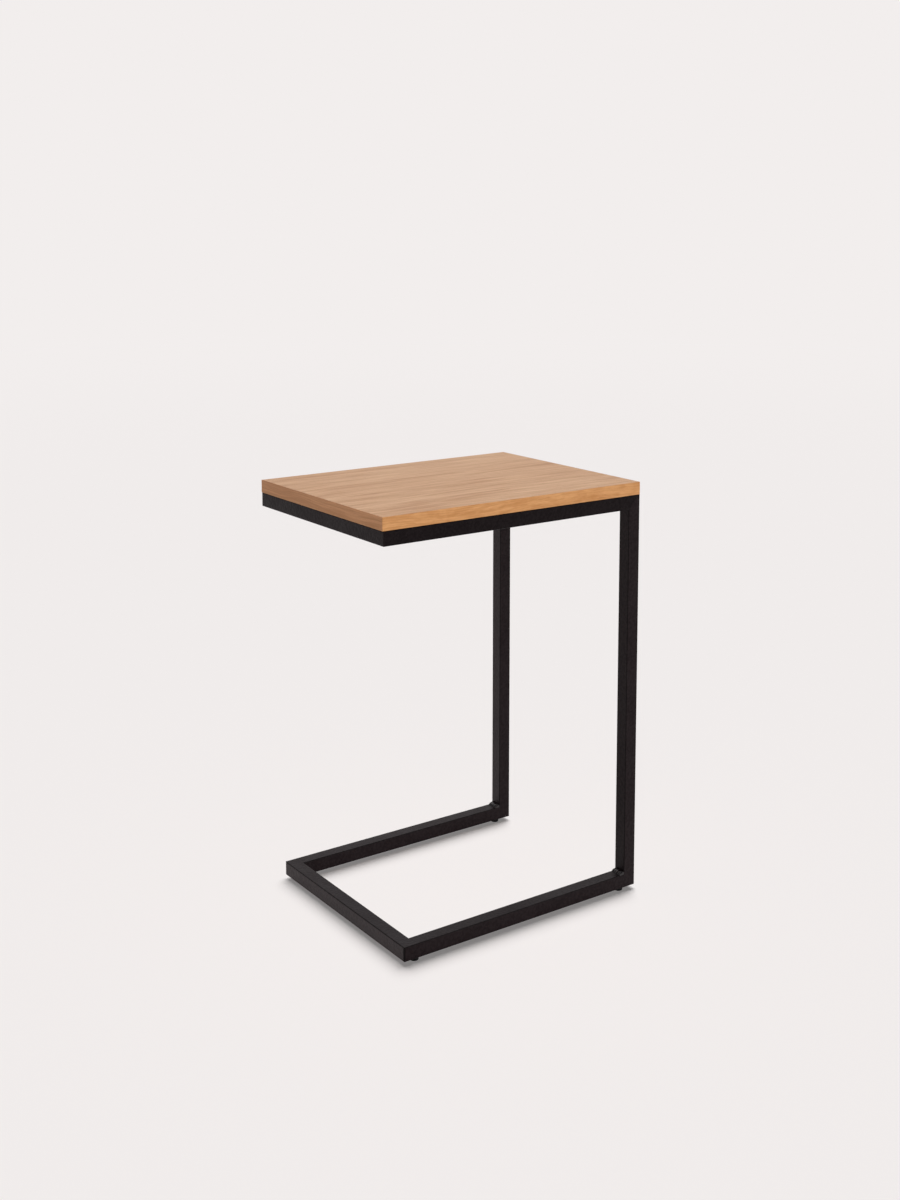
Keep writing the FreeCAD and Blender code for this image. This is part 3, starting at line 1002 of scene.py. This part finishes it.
@dataclass
class WeldedFrame:
    """Two C shaped side frames and their crossbars, welded from square tube and powder coated."""

    tubes: tuple[str, ...] = ("base_rail_left", "base_rail_right", "upright_left", "upright_right",
                              "top_rail_left", "top_rail_right", "base_crossbar", "top_crossbar_front",
                              "top_crossbar_rear")
    corner_bead: RippledBead = RippledBead(radius=7.5 * MM, sink=3.5 * MM, lean=1.5 * MM,
                                           bury=2.0 * MM, crater=1.6 * MM)
    side_gap: float = 0.3 * MM
    corner_seeds: tuple[int, int] = (5, 9)
    tack: RippledBead = RippledBead(radius=3.0 * MM, sink=0.6 * MM, bury=0.5 * MM, pitch=2.4 * MM,
                                    ripple=0.25 * MM, bow=0.8 * MM, unevenness=0.12 * MM,
                                    end_round=3.0 * MM, end_drop=1.6 * MM, steps_round=10,
                                    steps_to_pitch=6)
    first_tack_seed: int = 20
    crease: float = 50.0

    def lay_corner_bead(self, side: str, seed: int) -> None:
        """Lay the proud bead between a base rail and its upright.

        Args:
            side: left or right.
            seed: sets how uneven the puddles are.
        """
        rail_low, rail_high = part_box("base_rail_" + side)
        upright_low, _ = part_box("upright_" + side)
        start_y = rail_low.y + self.side_gap
        bead = replace(self.corner_bead, length=rail_high.y - rail_low.y - 2 * self.side_gap, seed=seed)
        form = bmesh.new()
        # The welder ends each bead at its right-hand end, where the crater stays.
        mirror = Matrix.Scale(-1.0, 4, (0.0, 1.0, 0.0))
        place = Matrix.Translation((upright_low.x, start_y + bead.length, rail_high.z)) @ mirror
        bead.lay(form, place)
        publish(form, "weld_bead_" + side, WELD_BLACK, ["corner_weld_" + side], self.crease)

    def lay_plate_tacks(self) -> None:
        """Tack each corner plate to the inner faces of the two tubes that it joins."""
        form = bmesh.new()
        for number, corner in enumerate(CORNERS):
            low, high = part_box("corner_plate_" + corner)
            end, side = corner.split("_")
            corner_x, into_x = (low.x, 1.0) if end == "front" else (high.x, -1.0)
            corner_y, into_y = (high.y, -1.0) if side == "left" else (low.y, 1.0)
            middle = (high.x - low.x) / 2
            along_x, along_y = Vector((into_x, 0.0, 0.0)), Vector((0.0, into_y, 0.0))
            # Each tack runs away from the corner, and its own X points into the tube's face.
            for odd, run, wall in ((1, along_x, -along_y), (0, along_y, -along_x)):
                bead = replace(self.tack, seed=self.first_tack_seed + 2 * number + odd)
                start = Vector((corner_x, corner_y, low.z)) + run * (middle - bead.length / 2)
                turn = Matrix((wall, run, -UP)).transposed().to_4x4()
                bead.lay(form, Matrix.Translation(start) @ turn)
        publish(form, "plate_tack_welds", WELD_BLACK, crease=self.crease)

    def build(self) -> None:
        """Dress the tubes and plates, and lay the welds that are left proud."""
        for tube in self.tubes:
            dress(tube, TUBE_BLACK)
        for corner in CORNERS:
            dress("corner_plate_" + corner, TUBE_BLACK)
        for side, seed in zip(SIDES, self.corner_seeds):
            dress("corner_weld_" + side, WELD_BLACK)
            self.lay_corner_bead(side, seed)
        self.lay_plate_tacks()


@dataclass
class VeneeredTop:
    """Board with a veneered face and back and a band on each edge."""

    arris: float = 0.45 * MM
    arris_steps: int = 4
    crease: float = 60.0
    # The front and rear bands wear the oak with painted shade and painted reflected haze.
    bands: dict[str, OakVeneer] = field(default_factory=lambda: {
        "left": LONG_EDGE_OAK, "right": LONG_EDGE_OAK, "front": SHADED_SHORT_EDGE_OAK, "rear": SHADED_SHORT_EDGE_OAK})

    def glue_band(self, name: str, finish: OakVeneer) -> None:
        """Make one edge band with its outer edges rounded by sanding.

        Args:
            name: the edge that it covers.
            finish: its veneer.
        """
        low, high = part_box("edge_band_" + name)
        size = high - low
        form = bmesh.new()
        block(form, size, (low + high) / 2)
        along = 0 if size.x > size.y else 1
        outer = 1 - along
        outside = max(abs(low[outer]), abs(high[outer]))
        sanded = []
        for edge in form.edges:
            centre = (edge.verts[0].co + edge.verts[1].co) / 2
            on_outside = abs(abs(centre[outer]) - outside) < self.arris
            lengthwise = abs(centre[along]) < self.arris
            if on_outside and (lengthwise or along == 0):
                sanded.append(edge)
        bmesh.ops.bevel(form, geom=sanded, offset=self.arris, offset_type="OFFSET", affect="EDGES",
                        segments=self.arris_steps, profile=0.5, material=-1)
        piece = publish(form, "sanded_band_" + name, finish, ["edge_band_" + name], self.crease)
        keep_flat = piece.modifiers.new("even_shading", "WEIGHTED_NORMAL")
        keep_flat.keep_sharp = True

    def build(self) -> None:
        """Dress the board's layers and glue on its bands."""
        dress("tabletop_face_veneer", FACE_OAK)
        dress("tabletop_backing_veneer", BACKING_OAK)
        dress("tabletop_core", CHIPS)
        for name, finish in self.bands.items():
            dress("edge_band_" + name, finish)
            self.glue_band(name, finish)


@dataclass
class BoardScrews:
    """Four pan head screws that hold the board down to the corner plates."""

    head_diameter: float = 7.6 * MM
    head_height: float = 2.6 * MM
    crown_share: float = 0.72
    crown_round: float = 0.9 * MM
    rim_height: float = 1.1 * MM
    rim_round: float = 0.5 * MM
    underside_round: float = 0.15 * MM
    corner_steps: int = 4
    shank_diameter: float = 3.8 * MM
    core_diameter: float = 2.7 * MM
    plain_neck: float = 3.5 * MM
    thread_pitch: float = 1.6 * MM
    thread_foot: float = 0.55 * MM
    thread_root: float = 0.15 * MM
    point_length: float = 3.0 * MM
    plain_point: float = 0.6
    recess_span: float = 4.4 * MM
    recess_slot: float = 0.95 * MM
    recess_depth: float = 1.5 * MM
    recess_taper: float = 0.62
    recess_step: float = 1.02
    round_steps: int = 48
    thread_steps: int = 20

    def axes(self) -> list[Vector]:
        """Return the middle of each screw's crown, a head's radius inside the corners of their box."""
        low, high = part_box("tabletop_screws")
        head = self.head_diameter / 2
        return [Vector((x, y, low.z)) for x in (low.x + head, high.x - head)
                for y in (low.y + head, high.y - head)]

    def turn_blank(self, form: Form, at: Vector, top_z: float) -> None:
        """Turn the head, the core of the shank and the point.

        Args:
            form: the form to add to.
            at: the middle of the head's crown.
            top_z: the height of the screw's point.
        """
        head, core = self.head_diameter / 2, self.core_diameter / 2
        length = top_z - at.z
        outline = rounded_outline([
            (0.0, 0.0, 0.0), (head * self.crown_share, 0.0, self.crown_round),
            (head, self.rim_height, self.rim_round), (head, self.head_height, self.underside_round),
            (core, self.head_height, 0.0), (core, length - self.point_length, 0.0), (0.0, length, 0.0)],
            self.corner_steps)
        turned(form, outline, at, self.round_steps)

    def cut_thread(self, form: Form, at: Vector, top_z: float) -> None:
        """Wind the thread's ridge up the shank.

        Args:
            form: the form to add to.
            at: the middle of the head's crown.
            top_z: the height of the screw's point.
        """
        root, crest = self.core_diameter / 2 - self.thread_root, self.shank_diameter / 2
        start_z = at.z + self.head_height + self.plain_neck
        turns = int((top_z - self.point_length * self.plain_point - start_z) / self.thread_pitch)
        ridge = [Vector((at.x + out, at.y, start_z + self.thread_foot * share))
                 for out, share in ((root, 0.0), (crest, 0.5), (root, 1.0))]
        edges = outline_chain(form, ridge)
        verts = ends_of(edges)
        closing = form.edges.new((edges[0].verts[0], edges[-1].verts[1]))
        face = bmesh.ops.contextual_create(form, geom=verts)["faces"]
        rise = self.thread_pitch / self.thread_steps
        bmesh.ops.spin(form, geom=face + edges + [closing] + verts, cent=at, axis=UP,
                       dvec=(0.0, 0.0, rise), angle=math.tau * turns, steps=self.thread_steps * turns)

    def recess_punch(self, places: Sequence[Vector]) -> Piece:
        """Make the cross shaped punch that sinks the four recesses.

        Args:
            places: the middle of each head's crown.

        Returns:
            The punch, which is deleted once it has cut.
        """
        form = bmesh.new()
        first = Vector((self.recess_span, self.recess_slot, 2 * self.recess_depth))
        # The second bar is a little deeper, so that no two faces of the cross lie in one plane.
        second = Vector((first.y, first.x, first.z * self.recess_step))
        for at in places:
            for size in (first, second):
                inner = [vert for vert in block(form, size, at) if vert.co.z > at.z]
                bmesh.ops.scale(form, vec=(self.recess_taper, self.recess_taper, 1.0), verts=inner,
                                space=Matrix.Translation(-at))
        return stand(form, "recess_punch")

    def build(self) -> None:
        """Make all four screws as one piece."""
        dress("tabletop_screws", ZINC)
        _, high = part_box("tabletop_screws")
        places = self.axes()
        blanks, threads = bmesh.new(), bmesh.new()
        for at in places:
            self.turn_blank(blanks, at, high.z)
            self.cut_thread(threads, at, high.z)
        for part in (blanks, threads):
            bmesh.ops.recalc_face_normals(part, faces=part.faces)
        body = stand(blanks, "screw_blanks")
        punch = self.recess_punch(places)
        cut = body.modifiers.new("recess", "BOOLEAN")
        cut.object, cut.solver, cut.use_self = punch, "EXACT", True
        bpy.context.view_layer.update()
        seen = body.evaluated_get(bpy.context.evaluated_depsgraph_get())
        form = bmesh.new()
        form.from_mesh(bpy.data.meshes.new_from_object(seen))
        pour(threads, form)
        for leftover in (body, punch):
            bpy.data.objects.remove(leftover)
        publish(form, "pan_head_screws", ZINC, ["tabletop_screws"])


@dataclass
class SnapInFeet:
    """Four round plastic feet with barbed stems."""

    edge_round: float = 1.1 * MM
    collar_round: float = 0.4 * MM
    hollow: float = 0.35 * MM
    hollow_share: float = 0.5
    hollow_round: float = 0.5 * MM
    sole_share: float = 0.62
    sole_round: float = 0.4 * MM
    stem_radius: float = 3.9 * MM
    barb_reach: float = 0.8 * MM
    barb_height: float = 1.6 * MM
    barb_round: float = 0.2 * MM
    tip_share: float = 0.9
    tip_round: float = 0.3 * MM
    wall: float = 1.2 * MM
    play: float = 0.1 * MM
    round_steps: int = 64

    def mould(self, corner: str) -> None:
        """Mould one foot.

        Args:
            corner: the end and side that it stands at.
        """
        low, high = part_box("foot_" + corner)
        rail_low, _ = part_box("base_rail_" + corner.split("_")[1])
        radius = (high.x - low.x) / 2
        at = Vector(((low.x + high.x) / 2, (low.y + high.y) / 2, low.z))
        pad = rail_low.z - low.z
        seat = pad + self.wall + self.play
        tip = seat + self.barb_height
        stem, barb = self.stem_radius, self.stem_radius + self.barb_reach
        outline = rounded_outline([
            (0.0, self.hollow, 0.0), (radius * self.hollow_share, self.hollow, self.hollow_round),
            (radius * self.sole_share, 0.0, self.sole_round), (radius, 0.0, self.edge_round),
            (radius, pad, self.collar_round), (stem, pad, 0.0), (stem, seat, 0.0),
            (barb, seat, self.barb_round), (stem * self.tip_share, tip, self.tip_round), (0.0, tip, 0.0)])
        form = bmesh.new()
        turned(form, outline, at, self.round_steps)
        publish(form, "snap_foot_" + corner, FOOT_BLACK, ["foot_" + corner])

    def build(self) -> None:
        """Mould all four feet."""
        for corner in CORNERS:
            dress("foot_" + corner, FOOT_BLACK)
            self.mould(corner)


# ---------------------------------------------------------------------------- studio


@dataclass(frozen=True)
class Lamp:
    """Very broad lamp, far away.

    Its strength is in watts to each square metre that faces it, its spread is how wide it looks from the
    table, in degrees, and its source is the direction that it stands in.
    """

    strength: float
    spread: float
    source: Triple
    tint: Colour = (1.0, 1.0, 1.0)

    def hang(self, name: str) -> Piece:
        """Hang the lamp.

        Args:
            name: the lamp's name.

        Returns:
            The object that holds it.
        """
        lamp = bpy.data.lights.new(name, "SUN")
        lamp.energy = self.strength
        lamp.color = self.tint
        lamp.angle = math.radians(self.spread)
        holder = bpy.data.objects.new(name, lamp)
        holder.rotation_euler = Vector(self.source).to_track_quat("Z", "Y").to_euler()
        bpy.context.scene.collection.objects.link(holder)
        return holder


@dataclass
class Studio:
    """Plain pale floor, soft light and the camera."""

    paper: Colour = (0.888, 0.855, 0.847)
    floor_colour: Colour = (0.90, 0.866, 0.858)
    floor_radius: float = 30.0
    floor_steps: int = 64
    floor_glow: float = 0.24
    fade: Span = (3.0, 9.0)
    sky_strength: Span = (0.34, 0.93)
    sky_tint: Colour = (1.0, 0.93, 0.955)
    belt_foot: Span = (0.10, 0.40)
    belt_head: Span = (0.48, 0.66)
    zenith_share: float = 0.05
    belt_axis: Triple = (0.574, 0.819, 0.0)
    panel_edge: Span = (0.45, 0.80)
    aside_share: float = 0.12
    near_share: float = 0.30
    lamps: dict[str, Lamp] = field(default_factory=lambda: {
        "top_lamp": Lamp(1.36, 64.0, (0.15, 0.34, 0.93)),
        "side_lamp": Lamp(1.68, 60.0, (0.0, -0.95, 0.22)),
        "floor_lamp": Lamp(3.52, 60.0, (0.35, 0.48, 1.0)),
        "left_lamp": Lamp(1.9, 50.0, (-0.55, 0.70, -0.42), (1.0, 0.88, 0.89)),
        "room_lamp": Lamp(0.63, 180.0, (0.0, 0.0, 1.0)),
        "back_lamp": Lamp(0.9, 70.0, (0.92, -0.20, 0.32))})
    low_pieces: tuple[str, ...] = ("base_", "weld_bead_", "snap_foot_")
    lit_from_left: tuple[str, ...] = ("base_crossbar", "upright_left")
    shaded_rails: tuple[str, ...] = ("top_rail_",)
    camera_at: Triple = (-1.200, -1.712, 0.981)
    heading: float = 0.6113
    pitch: float = 0.1158
    focal_pixels: float = 1498.9
    picture_height: float = 1200.0
    sensor: float = 36.0
    rise: float = -0.18
    clip: Span = (0.05, 200.0)

    def lay_floor(self) -> None:
        """Lay the floor, which fades into the backdrop's colour far away."""
        form = bmesh.new()
        bmesh.ops.create_circle(form, cap_ends=True, radius=self.floor_radius, segments=self.floor_steps)
        floor = stand(form, "studio_floor")
        material = bpy.data.materials.new("studio_paper")
        material.use_nodes = True
        graph = Graph(material.node_tree)
        shader = graph.add("BsdfPrincipled", self.floor_colour, Roughness=1.0, Specular_IOR_Level=0.0)
        backdrop = graph.add("Emission", self.paper)
        distance = graph.add("VectorMath", graph.add("TexCoord").outputs["Object"], operation="LENGTH")
        share = graph.ease(distance.outputs["Value"], self.fade, (self.floor_glow, 1.0))
        mix = graph.add("MixShader", share, shader.outputs[0], backdrop.outputs[0])
        graph.add("OutputMaterial", mix.outputs[0])
        floor.data.materials.append(material)

    def hang_sky(self) -> None:
        """Light the room from a belt of panels, and show the plain paper colour behind the table."""
        world = bpy.data.worlds.new("studio_sky")
        world.use_nodes = True
        # Its diffuse light comes from the lamps instead, so the tubes cast no wide shade on the floor.
        world.cycles_visibility.diffuse = False
        bpy.context.scene.world = world
        graph = Graph(world.node_tree)
        outwards = graph.add("TexCoord").outputs["Generated"]
        height = graph.split(outwards)[2]
        belt = graph.ease(height, self.belt_foot, self.sky_strength)
        dimming = graph.ease(height, self.belt_head, (1.0, self.zenith_share))
        along = graph.add("VectorMath", outwards, self.belt_axis, operation="DOT_PRODUCT").outputs["Value"]
        far = graph.ease(along, self.panel_edge, (self.aside_share, 1.0))
        near_edge = tuple(-edge for edge in self.panel_edge)
        near = graph.ease(along, near_edge, (self.aside_share, self.near_share))
        strength = graph.times(graph.times(belt, dimming), graph.math("MAXIMUM", far, near))
        light = graph.add("Background", self.sky_tint, strength)
        seen = graph.add("Background", self.paper)
        rays = graph.add("LightPath").outputs["Is Camera Ray"]
        mix = graph.add("MixShader", rays, light.outputs[0], seen.outputs[0])
        graph.add("OutputWorld", mix.outputs[0])

    def gather(self, name: str, pieces: Sequence[Piece]) -> bpy.types.Collection:
        """Put pieces in a collection of their own, for a lamp to look up.

        Args:
            name: the collection's name.
            pieces: what it holds.

        Returns:
            The collection.
        """
        group = bpy.data.collections.new(name)
        for piece in pieces:
            group.objects.link(piece)
        return group

    def flag_lamps(self, hung: dict[str, Piece]) -> None:
        """Choose what each lamp lights, and what may shade it.

        The floor has a lamp of its own, which only what stands near the floor shades. The left lamp
        reaches the front crossbar of the base and one upright, and the side lamp misses the upper rails,
        which the board shades. The other lamps light the whole table.

        Args:
            hung: the lamps' holders by name.
        """
        pieces = [piece for piece in bpy.context.scene.objects if piece.type == "MESH"]
        floor = [piece for piece in pieces if piece.name == "studio_floor"]
        table = [piece for piece in pieces if piece not in floor]
        low = [piece for piece in table if piece.name.startswith(self.low_pieces)]
        left = [piece for piece in table if piece.name.startswith(self.lit_from_left)]
        open_pieces = [piece for piece in table if not piece.name.startswith(self.shaded_rails)]
        whole = self.gather("lit_table", table)
        lit = {"floor_lamp": self.gather("lit_floor", floor),
               "left_lamp": self.gather("lit_from_left", left),
               "side_lamp": self.gather("lit_from_the_side", open_pieces)}
        for name, holder in hung.items():
            holder.light_linking.receiver_collection = lit.get(name, whole)
        hung["floor_lamp"].light_linking.blocker_collection = self.gather("near_the_floor", low)
        hung["left_lamp"].light_linking.blocker_collection = whole

    def set_camera(self) -> None:
        """Stand the camera in front and to the right of the open end."""
        camera = bpy.data.cameras.new("camera")
        camera.sensor_fit = "AUTO"
        camera.sensor_width = self.sensor
        camera.lens = self.focal_pixels / self.picture_height * self.sensor
        camera.shift_y = self.rise
        camera.clip_start, camera.clip_end = self.clip
        holder = bpy.data.objects.new("camera", camera)
        holder.location = self.camera_at
        holder.rotation_euler = (math.pi / 2 - self.pitch, 0.0, -self.heading)
        bpy.context.scene.collection.objects.link(holder)
        bpy.context.scene.camera = holder

    def build(self) -> None:
        """Set up floor, light and camera."""
        self.lay_floor()
        self.hang_sky()
        self.flag_lamps({name: lamp.hang(name) for name, lamp in self.lamps.items()})
        self.set_camera()
        bpy.context.scene.view_settings.view_transform = "Standard"
        LOG.info("studio is ready")


def main() -> None:
    """Build the table's sub-assemblies and the studio in order."""
    logging.basicConfig(level=logging.INFO, format="%(message)s")
    for assembly in (WeldedFrame(), VeneeredTop(), BoardScrews(), SnapInFeet(), Studio()):
        assembly.build()


if __name__ == "__main__":
    main()
